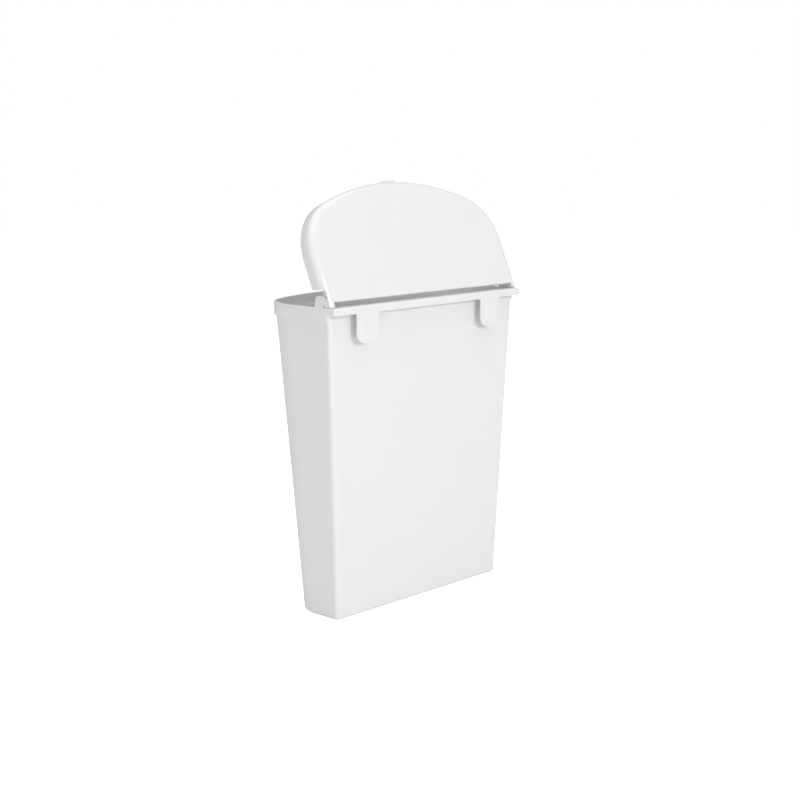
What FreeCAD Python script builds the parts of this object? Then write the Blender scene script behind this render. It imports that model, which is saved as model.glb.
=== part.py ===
"""Hang-on waste bin: a tapered body with a rear hooking flange, and a lid on two short hinge pins.

Frame: +Z up, +Y to the rear, which faces the wall or door, and the origin at the middle of the
base.  Millimetres.  The lid is drawn flat about its hinge line, then placed at its open stop.
"""
import FreeCAD, Part
import math
import os
import Sketcher

# Driving dimensions: name, value, what it is.
TABLE = [
    ("rim_height", 330.0, "floor to the top of the rim"),
    ("ledge_height", 316.2, "floor to the underside of the rim band"),
    ("wall", 2.0, "wall thickness of the body"),
    ("floor_thickness", 2.5, "thickness of the base"),
    ("rear_y", 61.05, "outer face of the rear wall at the rim"),
    ("foot_rear_y", 53.25, "outer face of the rear wall at the floor"),
    ("foot_half_width", 129.0, "half width at the floor"),
    ("foot_front", 35.65, "front of the foot ahead of the origin"),
    ("foot_corner", 36.0, "front corner radius at the floor"),
    ("foot_bow", 290.3, "front bow radius at the floor"),
    ("rim_half_width", 147.6, "half width over the rim band"),
    ("rim_front", 70.45, "front of the rim band ahead of the origin"),
    ("rim_corner", 58.0, "front corner radius of the rim band"),
    ("rim_bow", 303.0, "front bow radius of the rim band"),
    ("band_step", 2.4, "how far the rim band stands out of the shell"),
    ("rear_corner", 5.0, "radius of the upright rear corners"),
    ("foot_round", 3.3, "radius round the underside"),
    ("floor_round", 3.0, "radius round the floor inside"),
    ("lip_round", 0.8, "radius along the flange's top edge"),
    ("flange_out", 9.4, "hooking flange behind the rear wall"),
    ("flange_corner", 2.0, "upright corner radius of the flange"),
    ("shelf", 2.0, "thickness of the flange's shelf and lip"),
    ("lip_height", 7.5, "height of the flange's lip"),
    ("hook_drop", 38.2, "rim to the tip of a hook"),
    ("hook_width", 31.0, "width of a hook"),
    ("hook_pitch", 194.2, "distance between the hook centres"),
    ("hook_shift", 2.2, "hook pair off the middle, towards +X"),
    ("hook_tip", 11.5, "corner radius at a hook's tip"),
    ("hook_root", 2.5, "fillet radius where a hook leaves the lip"),
    ("pivot_ahead", 9.0, "hinge line ahead of the rear wall"),
    ("pivot_above", 6.6, "hinge line above the rim"),
    ("open_angle", 67.0, "lid angle at its open stop"),
    ("ear_thickness", 3.2, "thickness of a hinge ear"),
    ("ear_radius", 5.0, "radius of the ear about the hinge line"),
    ("ear_root", 12.0, "how far the ear runs down inside the band"),
    ("ear_foot_ahead", 10.2, "ear's front foot ahead of the hinge line"),
    ("ear_nose_ahead", 7.7, "ear's front top corner ahead of the hinge line"),
    ("ear_nose_round", 3.0, "radius of the ear's front top corner"),
    ("ear_heel_behind", 1.6, "rear of the ear's neck behind the hinge line"),
    ("pin_radius", 2.0, "hinge pin shaft"),
    ("pin_play", 0.05, "radial clearance of the pin in the ear"),
    ("pin_lift", 0.3, "gap between the pin's head and the ear"),
    ("pin_head", 3.2, "radius of the pin's domed head"),
    ("pin_dome", 1.1, "height of the pin's domed head"),
    ("gap", 0.4, "clearance between the lid and the body at the hinge"),
    ("lid_half_width", 149.5, "half width of the lid"),
    ("lid_front", 121.8, "front of the lid ahead of the hinge line"),
    ("lid_corner", 61.0, "front corner radius of the lid"),
    ("lid_bow", 305.0, "front bow radius of the lid"),
    ("lid_rear", 4.6, "rear edge of the lid behind the hinge line"),
    ("lid_top", 9.85, "top of the lid above the hinge line"),
    ("lid_foot", 6.3, "lower edge of the skirt below the hinge line"),
    ("lid_rear_corner", 9.0, "rear corner radius of the lid"),
    ("lid_round", 7.3, "radius round the lid's top edge"),
    ("lid_wall", 2.4, "wall thickness of the lid"),
    ("lid_rear_drop", 6.0, "depth of the stiffening lip at the lid's rear edge"),
    ("skirt_end_top", 9.1, "rear end of the skirt at the top, ahead of the hinge line"),
    ("skirt_end_foot", 13.8, "rear end of the skirt at the bottom, ahead of the hinge line"),
    ("lug_reach", 10.1, "lug behind the hinge line"),
    ("lug_inset", 1.2, "outer face of the lug inside the outer face of the ear"),
    ("lug_foot_behind", 6.6, "lower rear corner of the lug behind the hinge line"),
    ("lug_plate", 2.8, "thickness of the lug's pin plate"),
    ("lug_boss", 5.0, "radius of the lug's pin plate about the hinge line"),
    ("notch_radius", 5.5, "notch of the lug round the ear"),
    ("tab_width", 20.0, "width of the finger tab"),
    ("tab_out", 5.0, "finger tab ahead of the skirt"),
    ("tab_thickness", 3.0, "thickness of the finger tab"),
    ("tab_shift", 6.0, "finger tab off the middle, towards -X"),
    ("tab_corner", 3.0, "corner radius of the finger tab"),
    ("lug_edge", 1.5, "radius along the lid's rear edge"),
]
SIZES = {name: value for name, value, _ in TABLE}

# Distance between the inner faces of the lid's two pin plates.
PLATE_HALF = "rim_half_width - ear_thickness - gap - lug_plate"
PLATE_SPAN = PLATE_HALF + " + " + PLATE_HALF


def amount(text):
    """The value of a sum of named sizes, such as 'rim_height - wall'; empty text is zero."""
    result = 0.0
    sign = 1.0
    for word in text.split():
        if word in "+-":
            sign = 1.0 if word == "+" else -1.0
        else:
            result += sign * SIZES[word]
    return result


def formula(text):
    """The same sum, as an expression on the spreadsheet."""
    return " ".join(word if word in "+-" else "Sizes." + word for word in text.split())


def make_sheet(doc):
    """The spreadsheet that holds the driving dimensions."""
    sheet = doc.addObject("Spreadsheet::Sheet", "Sizes")
    for row, (name, value, meaning) in enumerate(TABLE, start=1):
        sheet.set("A%d" % row, meaning)
        sheet.set("B%d" % row, "%g" % value)
        sheet.setAlias("B%d" % row, name)
    doc.recompute()
    return sheet


def origin_plane(body, role):
    """One of a body's own origin planes."""
    for feature in body.Origin.OriginFeatures:
        if feature.Role == role:
            return feature
    raise ValueError(role)


def new_sketch(body, name, plane, offset, side=1):
    """A sketch on one of the body's origin planes, moved by a named sum along its normal."""
    sketch = body.newObject("Sketcher::SketchObject", name)
    sketch.AttachmentSupport = (origin_plane(body, plane), [""])
    sketch.MapMode = "FlatFace"
    if offset and amount(offset):
        shift = FreeCAD.Vector(0, 0, side * amount(offset))
        sketch.AttachmentOffset = FreeCAD.Placement(shift, FreeCAD.Rotation())
        sketch.setExpression(".AttachmentOffset.Base.z", "%d * (%s)" % (side, formula(offset)))
    return sketch


def dimension(sketch, kind, where, text, factor=1):
    """A named dimension of a sketch, bound to a sum of named sizes."""
    value = factor * amount(text)
    index = sketch.addConstraint(Sketcher.Constraint(kind, *where, value))
    expression = formula(text) if factor == 1 else "%g * (%s)" % (factor, formula(text))
    sketch.setExpression("Constraints[%d]" % index, expression)


def outline(body, name, level, half_width, rear, front, corner, bow, rear_corner):
    """A closed D on a level: straight rear, rounded rear corners, straight sides, bowed front.

    Every size is a sum of named sizes.  front is how far the bow's middle is ahead of the origin.
    """
    sketch = new_sketch(body, name, "XY_Plane", level)
    width = amount(half_width)
    rear_line = amount(rear)
    small = amount(rear_corner)
    large = amount(corner)
    radius = amount(bow)
    bow_y = radius - amount(front)
    corner_x = width - large
    corner_y = bow_y - math.sqrt((radius - large) ** 2 - corner_x ** 2)
    turn = math.atan2(corner_y - bow_y, corner_x)
    small_y = rear_line - small

    def point(x, y):
        return FreeCAD.Vector(x, y, 0)

    def arc(x, y, r, start, end):
        circle = Part.Circle(point(x, y), FreeCAD.Vector(0, 0, 1), r)
        return Part.ArcOfCircle(circle, start, end)

    half = math.pi / 2
    back, right_small, right, right_large, bowed, left_large, left, left_small = sketch.addGeometry([
        Part.LineSegment(point(small - width, rear_line), point(width - small, rear_line)),
        arc(width - small, small_y, small, 0, half),
        Part.LineSegment(point(width, corner_y), point(width, small_y)),
        arc(corner_x, corner_y, large, turn, 0),
        arc(0, bow_y, radius, -math.pi - turn, turn),
        arc(-corner_x, corner_y, large, math.pi, math.pi - turn),
        Part.LineSegment(point(-width, small_y), point(-width, corner_y)),
        arc(small - width, small_y, small, half, math.pi),
    ])
    joints = [
        (back, 2, right_small, 2),
        (right_small, 1, right, 2),
        (right, 1, right_large, 2),
        (right_large, 1, bowed, 2),
        (bowed, 1, left_large, 2),
        (left_large, 1, left, 2),
        (left, 1, left_small, 2),
        (left_small, 1, back, 1),
    ]
    for joint in joints:
        sketch.addConstraint(Sketcher.Constraint("Tangent", *joint))
    sketch.addConstraint(Sketcher.Constraint("Symmetric", back, 1, back, 2, -2))
    for line in (right, left):
        sketch.addConstraint(Sketcher.Constraint("Vertical", line))
    sketch.addConstraint(Sketcher.Constraint("Equal", right_small, left_small))
    sketch.addConstraint(Sketcher.Constraint("Equal", right_large, left_large))
    sketch.addConstraint(Sketcher.Constraint("PointOnObject", bowed, 3, -2))
    dimension(sketch, "Radius", (right_small,), rear_corner)
    dimension(sketch, "Radius", (right_large,), corner)
    dimension(sketch, "Radius", (bowed,), bow)
    dimension(sketch, "DistanceX", (left, 1, right, 2), half_width, 2)
    dimension(sketch, "DistanceY", (-1, 1, back, 1), rear)
    index = sketch.addConstraint(Sketcher.Constraint("DistanceY", -1, 1, bowed, 3, bow_y))
    sketch.setExpression("Constraints[%d]" % index, "%s - (%s)" % (formula(bow), formula(front)))
    return sketch


def loft(body, name, kind, upper, lower):
    """A straight loft between two outlines, added to the body or cut from it."""
    feature = body.newObject("PartDesign::" + kind, name)
    feature.Profile = upper
    feature.Sections = [lower]
    feature.Ruled = True
    return feature


def pad(body, name, kind, sketch, length, backwards=False):
    """A pad or pocket of a sketch, its length a sum of named sizes."""
    feature = body.newObject("PartDesign::" + kind, name)
    feature.Profile = sketch
    feature.Length = amount(length)
    feature.setExpression("Length", formula(length))
    feature.Reversed = backwards
    return feature


def pin_point(sketch, element, end, x, y, side=1):
    """Hold one end of an element at a named place; side mirrors x, and empty text is an axis."""
    if x:
        dimension(sketch, "DistanceX", (-1, 1, element, end), x, side)
    else:
        sketch.addConstraint(Sketcher.Constraint("PointOnObject", element, end, -2))
    if y:
        dimension(sketch, "DistanceY", (-1, 1, element, end), y)
    else:
        sketch.addConstraint(Sketcher.Constraint("PointOnObject", element, end, -1))


def polygon(sketch, corners, side=1):
    """A closed polygon whose corners are pairs of named sums; side mirrors x."""
    points = [FreeCAD.Vector(side * amount(x), amount(y), 0) for x, y in corners]
    lines = [Part.LineSegment(a, b) for a, b in zip(points, points[1:] + points[:1])]
    elements = sketch.addGeometry(lines)
    for one, two in zip(elements, elements[1:] + elements[:1]):
        sketch.addConstraint(Sketcher.Constraint("Coincident", one, 2, two, 1))
    for element, (x, y) in zip(elements, corners):
        pin_point(sketch, element, 1, x, y, side)
    return elements


def disc(sketch, x, y, radius):
    """A circle about a named place."""
    centre = FreeCAD.Vector(amount(x), amount(y), 0)
    circle = Part.Circle(centre, FreeCAD.Vector(0, 0, 1), amount(radius))
    element = sketch.addGeometry(circle)
    pin_point(sketch, element, 3, x, y)
    dimension(sketch, "Radius", (element,), radius)
    return element


def round_edges(body, name, base, radius, chosen):
    """A fillet on the edges of the base feature that the test chooses."""
    body.Document.recompute()
    names = []
    for number, edge in enumerate(base.Shape.Edges, start=1):
        box = edge.BoundBox
        if chosen(box):
            names.append("Edge%d" % number)
    if not names:
        raise ValueError("no edges for " + name)
    feature = body.newObject("PartDesign::Fillet", name)
    feature.Base = (base, names)
    feature.Radius = amount(radius)
    feature.setExpression("Radius", formula(radius))
    return feature


def near(value, target, tolerance=0.01):
    """Whether two lengths are the same."""
    return abs(value - target) < tolerance


def mirrored(body, name, originals):
    """The same features on the other side of the middle plane."""
    feature = body.newObject("PartDesign::Mirrored", name)
    feature.Originals = originals
    feature.MirrorPlane = (origin_plane(body, "YZ_Plane"), [""])
    body.Tip = feature
    return feature


# ---- the body: shell, rim band, hooking flange and hinge ears in one moulding

def add_shell(body):
    """The tapered shell up to the rim band, its underside rounded."""
    foot = outline(body, "foot_outline", "", "foot_half_width", "foot_rear_y", "foot_front",
                   "foot_corner", "foot_bow", "rear_corner")
    ledge = outline(body, "ledge_outline", "ledge_height", "rim_half_width - band_step",
                    "rear_y", "rim_front - band_step", "rim_corner - band_step",
                    "rim_bow - band_step", "rear_corner")
    shell = loft(body, "shell", "AdditiveLoft", ledge, foot)
    return round_edges(body, "underside_round", shell, "foot_round", lambda box: box.ZMax < 0.01)


def add_band(body):
    """The rim band, which stands out of the shell at the sides and front."""
    sketch = outline(body, "band_outline", "ledge_height", "rim_half_width", "rear_y",
                     "rim_front", "rim_corner", "rim_bow", "rear_corner")
    return pad(body, "band", "Pad", sketch, "rim_height - ledge_height")


def add_flange(body):
    """The flange behind the rear wall, as a solid bar."""
    sketch = new_sketch(body, "flange_outline", "XY_Plane", "rim_height - lip_height")
    rear = "rear_y + flange_out"
    front = "rear_y - rear_corner - wall"
    polygon(sketch, [
        ("rim_half_width", front),
        ("rim_half_width", rear),
        ("- rim_half_width", rear),
        ("- rim_half_width", front),
    ])
    bar = pad(body, "flange", "Pad", sketch, "lip_height")
    rear_y = amount(rear)
    ends = round_edges(
        body, "flange_ends", bar, "flange_corner",
        lambda box: near(box.YMin, rear_y) and near(box.ZLength, amount("lip_height")),
    )
    top = amount("rim_height")
    return round_edges(
        body, "flange_top", ends, "lip_round",
        lambda box: near(box.YMin, rear_y) and near(box.YMax, rear_y) and near(box.ZMin, top),
    )


def add_hooks(body):
    """Two tongues that hang from the lip, each with a rounded tip."""
    pads = []
    for side, word in ((1, "left"), (-1, "right")):
        middle = side * amount("hook_pitch") / 2 + amount("hook_shift")
        sketch = new_sketch(body, word + "_hook_outline", "XZ_Plane", "rear_y + flange_out", -1)
        hook_outline(sketch, side, middle)
        pads.append(pad(body, word + "_hook", "Pad", sketch, "shelf"))
    return pads[-1]


def hook_outline(sketch, side, middle):
    """One tongue: straight sides, fillets at the root and round corners at the tip."""
    half = amount("hook_width") / 2
    tip_z = amount("rim_height - hook_drop")
    tip = amount("hook_tip")
    root = amount("hook_root")
    lip_z = amount("rim_height - lip_height")
    over_z = lip_z + amount("shelf")
    quarter = math.pi / 2

    def point(x, z):
        return FreeCAD.Vector(middle + x, z, 0)

    def arc(x, z, radius, start, end):
        circle = Part.Circle(point(x, z), FreeCAD.Vector(0, 0, 1), radius)
        return Part.ArcOfCircle(circle, start, end)

    wide = half + root
    elements = sketch.addGeometry([
        Part.LineSegment(point(-wide, over_z), point(wide, over_z)),
        Part.LineSegment(point(wide, over_z), point(wide, lip_z)),
        arc(wide, lip_z - root, root, quarter, 2 * quarter),
        Part.LineSegment(point(half, lip_z - root), point(half, tip_z + tip)),
        arc(half - tip, tip_z + tip, tip, -quarter, 0),
        Part.LineSegment(point(half - tip, tip_z), point(tip - half, tip_z)),
        arc(tip - half, tip_z + tip, tip, 2 * quarter, 3 * quarter),
        Part.LineSegment(point(-half, tip_z + tip), point(-half, lip_z - root)),
        arc(-wide, lip_z - root, root, 0, quarter),
        Part.LineSegment(point(-wide, lip_z), point(-wide, over_z)),
    ])
    top, right, right_root, right_edge, right_tip, bottom, left_tip, left_edge, left_root, left = elements
    joints = [
        ("Coincident", top, 2, right, 1),
        ("Coincident", right, 2, right_root, 1),
        ("Tangent", right_root, 2, right_edge, 1),
        ("Tangent", right_edge, 2, right_tip, 2),
        ("Tangent", right_tip, 1, bottom, 1),
        ("Tangent", bottom, 2, left_tip, 2),
        ("Tangent", left_tip, 1, left_edge, 1),
        ("Tangent", left_edge, 2, left_root, 1),
        ("Coincident", left_root, 2, left, 1),
        ("Coincident", left, 2, top, 1),
    ]
    for kind, *where in joints:
        sketch.addConstraint(Sketcher.Constraint(kind, *where))
    for line in (right, right_edge, left_edge, left):
        sketch.addConstraint(Sketcher.Constraint("Vertical", line))
    for line in (top, bottom):
        sketch.addConstraint(Sketcher.Constraint("Horizontal", line))
    sketch.addConstraint(Sketcher.Constraint("Vertical", right, 2, right_root, 3))
    sketch.addConstraint(Sketcher.Constraint("Vertical", left, 1, left_root, 3))
    sketch.addConstraint(Sketcher.Constraint("Equal", right_root, left_root))
    sketch.addConstraint(Sketcher.Constraint("Equal", right_tip, left_tip))
    dimension(sketch, "Radius", (right_root,), "hook_root")
    dimension(sketch, "Radius", (right_tip,), "hook_tip")
    dimension(sketch, "DistanceX", (left_edge, 1, right_edge, 1), "hook_width")
    dimension(sketch, "DistanceY", (-1, 1, bottom, 1), "rim_height - hook_drop")
    dimension(sketch, "DistanceY", (-1, 1, top, 1), "rim_height - lip_height + shelf")
    dimension(sketch, "DistanceY", (-1, 1, right, 2), "rim_height - lip_height")
    dimension(sketch, "DistanceY", (-1, 1, left, 1), "rim_height - lip_height")
    index = sketch.addConstraint(
        Sketcher.Constraint("DistanceX", -1, 1, right_edge, 1, middle + half))
    expression = "%d * Sizes.hook_pitch / 2 + Sizes.hook_shift + Sizes.hook_width / 2" % side
    sketch.setExpression("Constraints[%d]" % index, expression)


def hollow_body(body):
    """The inside of the shell, the wider inside of the band, and the slot under the shelf."""
    floor = outline(body, "floor_outline", "floor_thickness", "foot_half_width - wall",
                    "foot_rear_y - wall", "foot_front - wall", "foot_corner - wall",
                    "foot_bow - wall", "rear_corner - wall")
    throat = outline(body, "throat_outline", "ledge_height + wall",
                     "rim_half_width - band_step - wall", "rear_y - wall",
                     "rim_front - band_step - wall", "rim_corner - band_step - wall",
                     "rim_bow - band_step - wall", "rear_corner - wall")
    inside = loft(body, "inside", "SubtractiveLoft", throat, floor)
    level = amount("floor_thickness")
    round_edges(body, "floor_round", inside, "floor_round",
                lambda box: near(box.ZMin, level) and near(box.ZMax, level))
    mouth = outline(body, "mouth_outline", "ledge_height + wall", "rim_half_width - wall",
                    "rear_y - wall", "rim_front - wall", "rim_corner - wall",
                    "rim_bow - wall", "rear_corner - wall")
    pad(body, "mouth", "Pocket", mouth, "rim_height - ledge_height", backwards=True)
    sketch = new_sketch(body, "slot_outline", "XY_Plane", "rim_height - lip_height - hook_drop")
    end = "rim_half_width - shelf"
    polygon(sketch, [
        (end, "rear_y"),
        (end, "rear_y + flange_out - shelf"),
        ("- rim_half_width + shelf", "rear_y + flange_out - shelf"),
        ("- rim_half_width + shelf", "rear_y"),
    ])
    return pad(body, "slot", "Pocket", sketch, "hook_drop + lip_height - shelf", backwards=True)


def add_ears(body):
    """An upright ear at each end of the rim, bored for its hinge pin."""
    pivot_y = "rear_y - pivot_ahead"
    pivot_z = "rim_height + pivot_above"
    low = "rim_height - ear_root"
    top = pivot_z + " + ear_radius"
    inner = "rim_half_width - ear_thickness"
    foot_y = pivot_y + " - ear_foot_ahead"
    heel_y = pivot_y + " + ear_heel_behind"
    plate_sketch = new_sketch(body, "ear_outline", "YZ_Plane", inner)
    polygon(plate_sketch, [
        (foot_y, low),
        (heel_y, low),
        (heel_y, pivot_z),
        (pivot_y, top),
        (pivot_y + " - ear_nose_ahead", top),
        (foot_y, "rim_height"),
    ])
    plate = pad(body, "ear", "Pad", plate_sketch, "ear_thickness")
    eye_sketch = new_sketch(body, "ear_eye_outline", "YZ_Plane", inner)
    disc(eye_sketch, pivot_y, pivot_z, "ear_radius")
    eye = pad(body, "ear_eye", "Pad", eye_sketch, "ear_thickness")
    bore_sketch = new_sketch(body, "ear_bore_outline", "YZ_Plane", inner)
    disc(bore_sketch, pivot_y, pivot_z, "pin_radius + pin_play")
    bore = pad(body, "ear_bore", "Pocket", bore_sketch, "ear_thickness", backwards=True)
    pair = mirrored(body, "ear_pair", [plate, eye, bore])
    nose_y = amount(pivot_y + " - ear_nose_ahead")
    nose_z = amount(top)
    return round_edges(
        body, "ear_noses", pair, "ear_nose_round",
        lambda box: near(box.YMin, nose_y) and near(box.YMax, nose_y) and near(box.ZMin, nose_z),
    )


def make_bin_body(doc):
    """The bin's body."""
    body = doc.addObject("PartDesign::Body", "bin_body")
    add_shell(body)
    add_band(body)
    add_flange(body)
    add_hooks(body)
    hollow_body(body)
    add_ears(body)
    return body


# ---- the lid, drawn flat with its hinge line along the X axis through the origin

def add_cap(body):
    """The hollow cap: a D-shaped top, a skirt and rounded edges, drawn long to the rear."""
    rear = "lug_reach + lid_rear_corner"
    outer = outline(body, "cap_outline", "- lid_foot", "lid_half_width", rear,
                    "lid_front", "lid_corner", "lid_bow", "lid_rear_corner")
    cap = pad(body, "cap", "Pad", outer, "lid_top + lid_foot")
    top = amount("lid_top")
    round_edges(body, "cap_round", cap, "lid_round", lambda box: near(box.ZMin, top))
    inner = outline(body, "cap_inner_outline", "- lid_foot", "lid_half_width - lid_wall",
                    rear + " - lid_wall", "lid_front - lid_wall", "lid_corner - lid_wall",
                    "lid_bow - lid_wall", "lid_rear_corner - lid_wall")
    hollow = pad(body, "cap_hollow", "Pocket", inner, "lid_top + lid_foot - lid_wall",
                 backwards=True)
    ceiling = amount("lid_top - lid_wall")
    return round_edges(
        body, "cap_inner_round", hollow, "lid_round - lid_wall",
        lambda box: near(box.ZMin, ceiling) and near(box.ZMax, ceiling),
    )


def trim_cap(body):
    """Cut the skirt's ends ahead of the ears, and the rear edge between and behind the lugs."""
    under = "lid_top - lid_wall"
    beyond = "lug_reach + lid_rear_corner + lid_rear_corner"
    above = "lid_top + lid_top"
    below = "- lid_foot - lid_top"
    skirt_end = [
        ("- skirt_end_top", under),
        ("- skirt_end_foot", "- lid_foot"),
        ("- skirt_end_foot", below),
        (beyond, below),
    ]
    for side, word in ((1, "left"), (-1, "right")):
        whole = new_sketch(body, word + "_end_outline", "YZ_Plane",
                           "rim_half_width - lug_inset", side)
        polygon(whole, skirt_end + [(beyond, above), ("- skirt_end_top", above)])
        pad(body, word + "_end", "Pocket", whole, "lid_half_width", side > 0)
        room = new_sketch(body, word + "_ear_room_outline", "YZ_Plane",
                          "rim_half_width - ear_thickness - gap", side)
        polygon(room, skirt_end + [(beyond, under)])
        pad(body, word + "_ear_room", "Pocket", room, "lid_half_width", side > 0)
    for name, start, width in (
        ("lug_ends", "lug_reach", "lid_half_width + lid_half_width"),
        ("rear_edge", "lid_rear", PLATE_SPAN),
    ):
        sketch = new_sketch(body, name + "_outline", "YZ_Plane", "")
        polygon(sketch, [(start, below), (beyond, below), (beyond, above), (start, above)])
        pad(body, name, "Pocket", sketch, width).Midplane = True


def add_rear_lip(body):
    """A stiffening lip under the rear edge, and the edge's small rounding."""
    sketch = new_sketch(body, "rear_lip_outline", "YZ_Plane", "")
    foot = "lid_top - lid_rear_drop"
    top = "lid_top - lug_edge"
    polygon(sketch, [
        ("lid_rear - lid_wall", foot),
        ("lid_rear", foot),
        ("lid_rear", top),
        ("lid_rear - lid_wall", top),
    ])
    lip = pad(body, "rear_lip", "Pad", sketch, PLATE_SPAN)
    lip.Midplane = True
    rear_y = amount("lid_rear")
    height = amount("lid_top")
    return round_edges(
        body, "rear_edge_round", lip, "lug_edge",
        lambda box: near(box.YMin, rear_y) and near(box.YMax, rear_y) and near(box.ZMin, height),
    )


def add_lugs(body):
    """At each end a lug: an outer block notched round the ear, and a plate that holds the pin."""
    under = "lid_top - lid_wall"
    shoulder = "lid_top - lug_edge"
    plate_face = "rim_half_width - ear_thickness - gap"
    block_sketch = new_sketch(body, "lug_outline", "YZ_Plane", plate_face)
    polygon(block_sketch, [
        ("- skirt_end_top - lid_wall", under),
        ("- skirt_end_top - lid_wall", shoulder),
        ("lug_reach", shoulder),
        ("lug_foot_behind", ""),
        ("", ""),
        ("", under),
    ])
    block = pad(body, "lug", "Pad", block_sketch, "ear_thickness + gap - lug_inset")
    notch_sketch = new_sketch(body, "notch_outline", "YZ_Plane", plate_face)
    disc(notch_sketch, "", "", "notch_radius")
    notch = pad(body, "notch", "Pocket", notch_sketch, "ear_thickness + gap", backwards=True)
    plate_sketch = new_sketch(body, "pin_plate_outline", "YZ_Plane", plate_face)
    polygon(plate_sketch, [
        ("- skirt_end_foot", under),
        ("- skirt_end_foot", shoulder),
        ("lug_reach", shoulder),
        ("lug_foot_behind", ""),
        ("", "- lug_boss"),
    ])
    plate = pad(body, "pin_plate", "Pad", plate_sketch, "lug_plate", backwards=True)
    boss_sketch = new_sketch(body, "pin_boss_outline", "YZ_Plane", plate_face)
    disc(boss_sketch, "", "", "lug_boss")
    boss = pad(body, "pin_boss", "Pad", boss_sketch, "lug_plate", backwards=True)
    seat_sketch = new_sketch(body, "pin_seat_outline", "YZ_Plane", plate_face)
    disc(seat_sketch, "", "", "pin_radius")
    seat = pad(body, "pin_seat", "Pocket", seat_sketch, "lug_plate")
    return mirrored(body, "lug_pair", [block, notch, plate, boss, seat])


def add_tab(body):
    """The finger tab under the middle of the skirt's front."""
    sketch = new_sketch(body, "tab_outline", "XY_Plane", "- lid_foot")
    low_x = amount("- tab_shift") - amount("tab_width") / 2
    high_x = low_x + amount("tab_width")
    rear_y = amount("lid_wall - lid_front")
    front_y = amount("- lid_front - tab_out")
    corners = [(low_x, rear_y), (high_x, rear_y), (high_x, front_y), (low_x, front_y)]
    points = [FreeCAD.Vector(x, y, 0) for x, y in corners]
    lines = [Part.LineSegment(a, b) for a, b in zip(points, points[1:] + points[:1])]
    rear, right, front, left = sketch.addGeometry(lines)
    for one, two in ((rear, right), (right, front), (front, left), (left, rear)):
        sketch.addConstraint(Sketcher.Constraint("Coincident", one, 2, two, 1))
    for line in (rear, front):
        sketch.addConstraint(Sketcher.Constraint("Horizontal", line))
    for line in (right, left):
        sketch.addConstraint(Sketcher.Constraint("Vertical", line))
    dimension(sketch, "DistanceX", (rear, 1, rear, 2), "tab_width")
    dimension(sketch, "DistanceY", (-1, 1, rear, 1), "lid_wall - lid_front")
    dimension(sketch, "DistanceY", (-1, 1, front, 1), "- lid_front - tab_out")
    index = sketch.addConstraint(Sketcher.Constraint("DistanceX", -1, 1, rear, 1, low_x))
    sketch.setExpression("Constraints[%d]" % index, "- Sizes.tab_shift - Sizes.tab_width / 2")
    tab = pad(body, "tab", "Pad", sketch, "tab_thickness")
    return round_edges(
        body, "tab_corners", tab, "tab_corner",
        lambda box: near(box.YMax, front_y) and near(box.ZLength, amount("tab_thickness")),
    )


def make_lid(doc):
    """The lid, placed at its open stop."""
    body = doc.addObject("PartDesign::Body", "lid")
    add_cap(body)
    trim_cap(body)
    add_rear_lip(body)
    add_lugs(body)
    add_tab(body)
    body.Placement = FreeCAD.Placement(
        FreeCAD.Vector(0, amount("rear_y - pivot_ahead"), amount("rim_height + pivot_above")),
        FreeCAD.Rotation(FreeCAD.Vector(1, 0, 0), -amount("open_angle")),
    )
    return body


# ---- the hinge pins, each pressed into its lug and running in its ear

def make_pin(doc, name, side):
    """A plain shaft with a low domed head, turned about the X axis."""
    body = doc.addObject("PartDesign::Body", name)
    sketch = new_sketch(body, name + "_profile", "XY_Plane", "")
    inner = "rim_half_width - ear_thickness - gap - lug_plate"
    face = "rim_half_width + pin_lift"
    crown = face + " + pin_dome"
    dome = amount("pin_dome")
    head = amount("pin_head")
    radius = (dome ** 2 + head ** 2) / (2 * dome)
    half_turn = math.asin(head / radius)
    centre_x = side * (amount(crown) - radius)
    start, end = (0, half_turn) if side > 0 else (math.pi - half_turn, math.pi)
    circle = Part.Circle(FreeCAD.Vector(centre_x, 0, 0), FreeCAD.Vector(0, 0, 1), radius)
    corners = [
        (inner, ""),
        (inner, "pin_radius"),
        (face, "pin_radius"),
        (face, "pin_head"),
        (crown, ""),
    ]
    points = [FreeCAD.Vector(side * amount(x), amount(y), 0) for x, y in corners]
    shape = [Part.LineSegment(a, b) for a, b in zip(points[:3], points[1:4])]
    shape.append(Part.ArcOfCircle(circle, start, end))
    shape.append(Part.LineSegment(points[4], points[0]))
    tail, shaft, step, arc, axis = sketch.addGeometry(shape)
    arc_top, arc_crown = (2, 1) if side > 0 else (1, 2)
    joints = [
        (tail, 2, shaft, 1),
        (shaft, 2, step, 1),
        (step, 2, arc, arc_top),
        (arc, arc_crown, axis, 1),
        (axis, 2, tail, 1),
    ]
    for joint in joints:
        sketch.addConstraint(Sketcher.Constraint("Coincident", *joint))
    sketch.addConstraint(Sketcher.Constraint("PointOnObject", arc, 3, -1))
    for element, (x, y) in zip((tail, shaft, step), corners):
        pin_point(sketch, element, 1, x, y, side)
    pin_point(sketch, step, 2, face, "pin_head", side)
    pin_point(sketch, axis, 1, crown, "", side)
    turned = body.newObject("PartDesign::Revolution", name + "_turned")
    turned.Profile = sketch
    turned.ReferenceAxis = (sketch, ["H_Axis"])
    turned.Angle = 360
    body.Placement = FreeCAD.Placement(
        FreeCAD.Vector(0, amount("rear_y - pivot_ahead"), amount("rim_height + pivot_above")),
        FreeCAD.Rotation(),
    )
    return body


# ---- the document, its checks and the files

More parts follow.
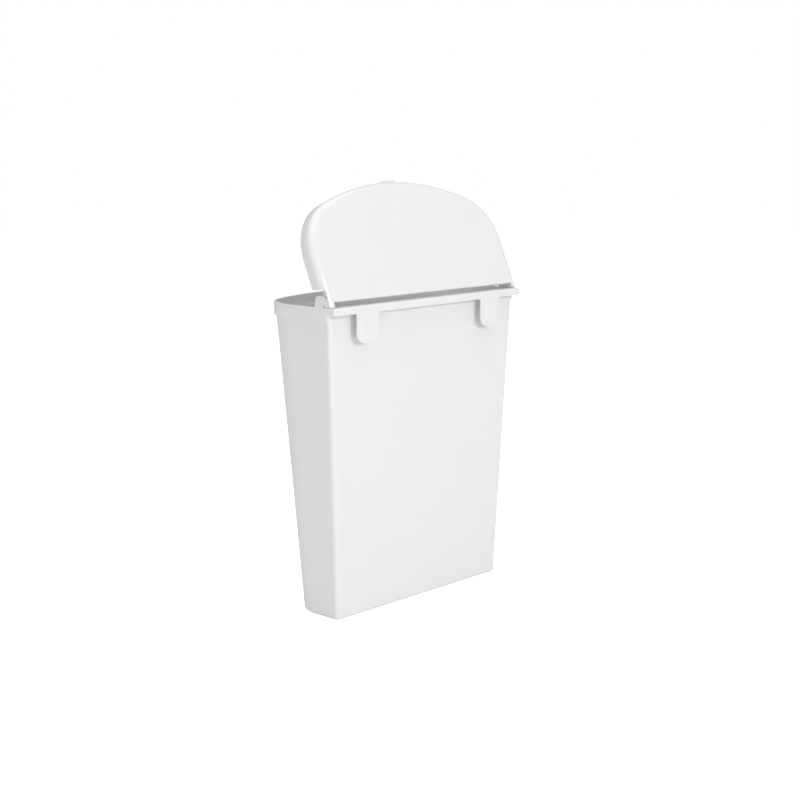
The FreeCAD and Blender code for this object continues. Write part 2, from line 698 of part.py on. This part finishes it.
def check(doc, nodes):
    """Stop at a failed object or a bad shape."""
    for item in doc.Objects:
        if "Invalid" in item.State or "Error" in item.State:
            raise RuntimeError("%s: %s" % (item.Name, item.State))
    for node in nodes:
        shape = node.Shape
        if shape.isNull() or not shape.isValid() or len(shape.Solids) != 1:
            raise RuntimeError("bad shape: " + node.Label)
        print("%-16s volume %9.0f mm3" % (node.Label, shape.Volume))


def main():
    doc = FreeCAD.newDocument("waste_bin")
    make_sheet(doc)
    nodes = [
        make_bin_body(doc),
        make_lid(doc),
        make_pin(doc, "hinge_pin_left", 1),
        make_pin(doc, "hinge_pin_right", -1),
    ]
    doc.recompute()
    check(doc, nodes)
    os.makedirs("parts", exist_ok=True)
    for node in nodes:
        node.Shape.exportStep("parts/%s.step" % node.Label)


main()
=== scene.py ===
"""A hang-on waste bin in glossy white plastic, its lid at the open stop, on a pale studio floor.

Metres, in the row's frame: +Z up, +Y to the rear, the origin at the middle of the base.
"""
import math

import bpy
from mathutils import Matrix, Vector

# Camera: degrees from +Y towards +X, degrees above the floor, metres and millimetres of lens
CAMERA_AZIMUTH = 47.21
CAMERA_ELEVATION = 9.75
CAMERA_DISTANCE = 1.6436
CAMERA_LENS = 69.93
CAMERA_TARGET = (0.0418, 0.06105, 0.2242)
SENSOR_WIDTH = 36.0
FAR_CLIP = 50.0

# Floor and backdrop; the glow is what the camera adds to the floor's own light
FLOOR_SIZE = 12.0
FLOOR_GREY = 0.93
FLOOR_GLOW = 0.62
FLOOR_ROUGHNESS = 0.6
FLOOR_SPECULAR = 0.2
AMBIENT_STRENGTH = 0.42
BACKDROP_STRENGTH = 1.0

# Softboxes: name, place, target, width, height, power in watts
MIDDLE = (0.0, 0.0, 0.25)
SOFTBOXES = (
    ("key", (0.0, 2.3, 1.05), MIDDLE, 0.35, 0.5, 17.0),
    ("side_fill", (2.5, 0.3, 1.0), MIDDLE, 1.5, 1.5, 6.0),
    ("corner_strip", (0.97, 0.85, 0.14), (0.14, 0.06, 0.14), 0.10, 0.24, 1.3),
    ("overhead", (0.0, 0.0, 2.6), (0.0, 0.0, 0.0), 3.0, 3.0, 36.0),
)

# Rounding of the mouldings' sharp edges: metres, and the least angle that counts as an edge
EDGE_ROUND = 0.0005
EDGE_ANGLE = 50.0
EDGE_SEGMENTS = 3
WELD_DISTANCE = 2e-6

# Plastic
PLASTIC_ROUGHNESS = 0.22
PIN_ROUGHNESS = 0.25
PLASTIC_IOR = 1.49
GLOSS_BELOW = 0.04
GLOSS_ABOVE = 0.05
TINT_LOW = 0.985
TINT_HIGH = 1.01
BUMP_STRENGTH = 0.05
BUMP_DEPTH = 0.0004
SUBSURFACE_WEIGHT = 0.30
SUBSURFACE_RADIUS = 0.004
WHITE_BODY = (0.835, 0.837, 0.838)
LID_WHITE_WITH_PAINTED_SHADE = (0.832, 0.834, 0.835)
# The lid's white is the body's white made a touch darker: painted shade that evens out the extra
# light the open lid catches
WHITE_PIN = (0.835, 0.837, 0.838)


def add_camera():
    """The camera that looks from behind and to the left of the bin, a little above it."""
    azimuth = math.radians(CAMERA_AZIMUTH)
    elevation = math.radians(CAMERA_ELEVATION)
    outward = Vector((
        math.sin(azimuth) * math.cos(elevation),
        math.cos(azimuth) * math.cos(elevation),
        math.sin(elevation),
    ))
    data = bpy.data.cameras.new("camera")
    data.lens = CAMERA_LENS
    data.sensor_width = SENSOR_WIDTH
    data.clip_end = FAR_CLIP
    camera = bpy.data.objects.new("camera", data)
    target = Vector(CAMERA_TARGET)
    camera.location = target + outward * CAMERA_DISTANCE
    camera.rotation_euler = (-outward).to_track_quat("-Z", "Y").to_euler()
    bpy.context.collection.objects.link(camera)
    bpy.context.scene.camera = camera


def add_world():
    """Even light from all round, in front of a white backdrop."""
    world = bpy.data.worlds.new("studio")
    world.use_nodes = True
    tree = world.node_tree
    light = tree.nodes["Background"]
    light.inputs["Color"].default_value = (1.0, 1.0, 1.0, 1.0)
    light.inputs["Strength"].default_value = AMBIENT_STRENGTH
    backdrop = tree.nodes.new("ShaderNodeBackground")
    backdrop.inputs["Color"].default_value = (1.0, 1.0, 1.0, 1.0)
    backdrop.inputs["Strength"].default_value = BACKDROP_STRENGTH
    path = tree.nodes.new("ShaderNodeLightPath")
    mix = tree.nodes.new("ShaderNodeMixShader")
    tree.links.new(path.outputs["Is Camera Ray"], mix.inputs["Fac"])
    tree.links.new(light.outputs["Background"], mix.inputs[1])
    tree.links.new(backdrop.outputs["Background"], mix.inputs[2])
    tree.links.new(mix.outputs["Shader"], tree.nodes["World Output"].inputs["Surface"])
    bpy.context.scene.world = world


def add_softbox(name, place, target, width, height, power):
    """A rectangular light that faces the target."""
    data = bpy.data.lights.new(name, "AREA")
    data.shape = "RECTANGLE"
    data.size = width
    data.size_y = height
    data.energy = power
    light = bpy.data.objects.new(name, data)
    light.location = place
    aim = Vector(target) - Vector(place)
    light.rotation_euler = aim.to_track_quat("-Z", "Y").to_euler()
    bpy.context.collection.objects.link(light)


def add_floor():
    """A pale floor under the bin."""
    half = FLOOR_SIZE / 2
    mesh = bpy.data.meshes.new("floor")
    mesh.from_pydata(
        [(-half, -half, 0), (half, -half, 0), (half, half, 0), (-half, half, 0)],
        [], [(0, 1, 2, 3)],
    )
    floor = bpy.data.objects.new("floor", mesh)
    bpy.context.collection.objects.link(floor)
    material = bpy.data.materials.new("floor")
    material.use_nodes = True
    shader = material.node_tree.nodes["Principled BSDF"]
    shader.inputs["Base Color"].default_value = (FLOOR_GREY, FLOOR_GREY, FLOOR_GREY, 1.0)
    shader.inputs["Roughness"].default_value = FLOOR_ROUGHNESS
    shader.inputs["Specular IOR Level"].default_value = FLOOR_SPECULAR
    shader.inputs["Emission Color"].default_value = (FLOOR_GLOW, FLOOR_GLOW, FLOOR_GLOW, 1.0)
    path = material.node_tree.nodes.new("ShaderNodeLightPath")
    material.node_tree.links.new(
        path.outputs["Is Camera Ray"], shader.inputs["Emission Strength"],
    )
    mesh.materials.append(material)


def add_noise(tree, place, scale, detail):
    """Noise in the node's own coordinates."""
    noise = tree.nodes.new("ShaderNodeTexNoise")
    noise.inputs["Scale"].default_value = scale
    noise.inputs["Detail"].default_value = detail
    tree.links.new(place.outputs["Object"], noise.inputs["Vector"])
    return noise


def moulded_plastic(name, color, roughness=PLASTIC_ROUGHNESS):
    """Glossy white plastic: a faint uneven tint, an uneven gloss and a slight orange peel."""
    material = bpy.data.materials.new(name)
    material.use_nodes = True
    tree = material.node_tree
    links = tree.links
    shader = tree.nodes["Principled BSDF"]
    place = tree.nodes.new("ShaderNodeTexCoord")

    flow = add_noise(tree, place, 9.0, 3.0)
    tint = tree.nodes.new("ShaderNodeMix")
    tint.data_type = "RGBA"
    low = [channel * TINT_LOW for channel in color]
    high = [min(1.0, channel * TINT_HIGH) for channel in color]
    tint.inputs["A"].default_value = (*low, 1.0)
    tint.inputs["B"].default_value = (*high, 1.0)
    links.new(flow.outputs["Fac"], tint.inputs["Factor"])
    links.new(tint.outputs["Result"], shader.inputs["Base Color"])

    scuff = add_noise(tree, place, 60.0, 5.0)
    gloss = tree.nodes.new("ShaderNodeMapRange")
    gloss.inputs["From Min"].default_value = 0.3
    gloss.inputs["From Max"].default_value = 0.7
    gloss.inputs["To Min"].default_value = roughness - GLOSS_BELOW
    gloss.inputs["To Max"].default_value = roughness + GLOSS_ABOVE
    links.new(scuff.outputs["Fac"], gloss.inputs["Value"])
    links.new(gloss.outputs["Result"], shader.inputs["Roughness"])

    peel = add_noise(tree, place, 220.0, 2.0)
    bump = tree.nodes.new("ShaderNodeBump")
    bump.inputs["Strength"].default_value = BUMP_STRENGTH
    bump.inputs["Distance"].default_value = BUMP_DEPTH
    links.new(peel.outputs["Fac"], bump.inputs["Height"])
    links.new(bump.outputs["Normal"], shader.inputs["Normal"])

    shader.inputs["IOR"].default_value = PLASTIC_IOR
    shader.inputs["Subsurface Weight"].default_value = SUBSURFACE_WEIGHT
    shader.inputs["Subsurface Radius"].default_value = (SUBSURFACE_RADIUS,) * 3
    shader.inputs["Subsurface Scale"].default_value = 1.0
    return material


def soften_edges(node, width):
    """Round a moulding's sharp edges by a fraction of a millimetre, as a mould leaves them."""
    weld = node.modifiers.new("weld", "WELD")
    weld.merge_threshold = WELD_DISTANCE
    bevel = node.modifiers.new("edge_round", "BEVEL")
    bevel.width = width
    bevel.segments = EDGE_SEGMENTS
    bevel.limit_method = "ANGLE"
    bevel.angle_limit = math.radians(EDGE_ANGLE)
    bevel.harden_normals = True
    bevel.use_clamp_overlap = True


def paint(node, material):
    """Give a CAD node its material."""
    slots = node.material_slots
    if not slots:
        node.data.materials.append(material)
    for slot in slots:
        slot.material = material


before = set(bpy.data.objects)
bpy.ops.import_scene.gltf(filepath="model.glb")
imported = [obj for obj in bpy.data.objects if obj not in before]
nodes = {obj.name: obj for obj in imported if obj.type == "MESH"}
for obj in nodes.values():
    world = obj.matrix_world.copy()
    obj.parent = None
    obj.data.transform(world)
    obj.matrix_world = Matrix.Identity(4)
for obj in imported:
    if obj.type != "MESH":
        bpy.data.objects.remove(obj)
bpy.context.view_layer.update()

paint(nodes["bin_body"], moulded_plastic("plastic_body", WHITE_BODY))
# The lid gets the darker white, painted shade for the extra light it catches
paint(nodes["lid"], moulded_plastic("plastic_lid_painted_shade", LID_WHITE_WITH_PAINTED_SHADE))
pin_plastic = moulded_plastic("plastic_pin", WHITE_PIN, PIN_ROUGHNESS)
paint(nodes["hinge_pin_left"], pin_plastic)
paint(nodes["hinge_pin_right"], pin_plastic)

bpy.context.scene.view_settings.view_transform = "Standard"
for name in ("bin_body", "lid"):
    soften_edges(nodes[name], EDGE_ROUND)

add_world()
add_floor()
for softbox in SOFTBOXES:
    add_softbox(*softbox)
add_camera()
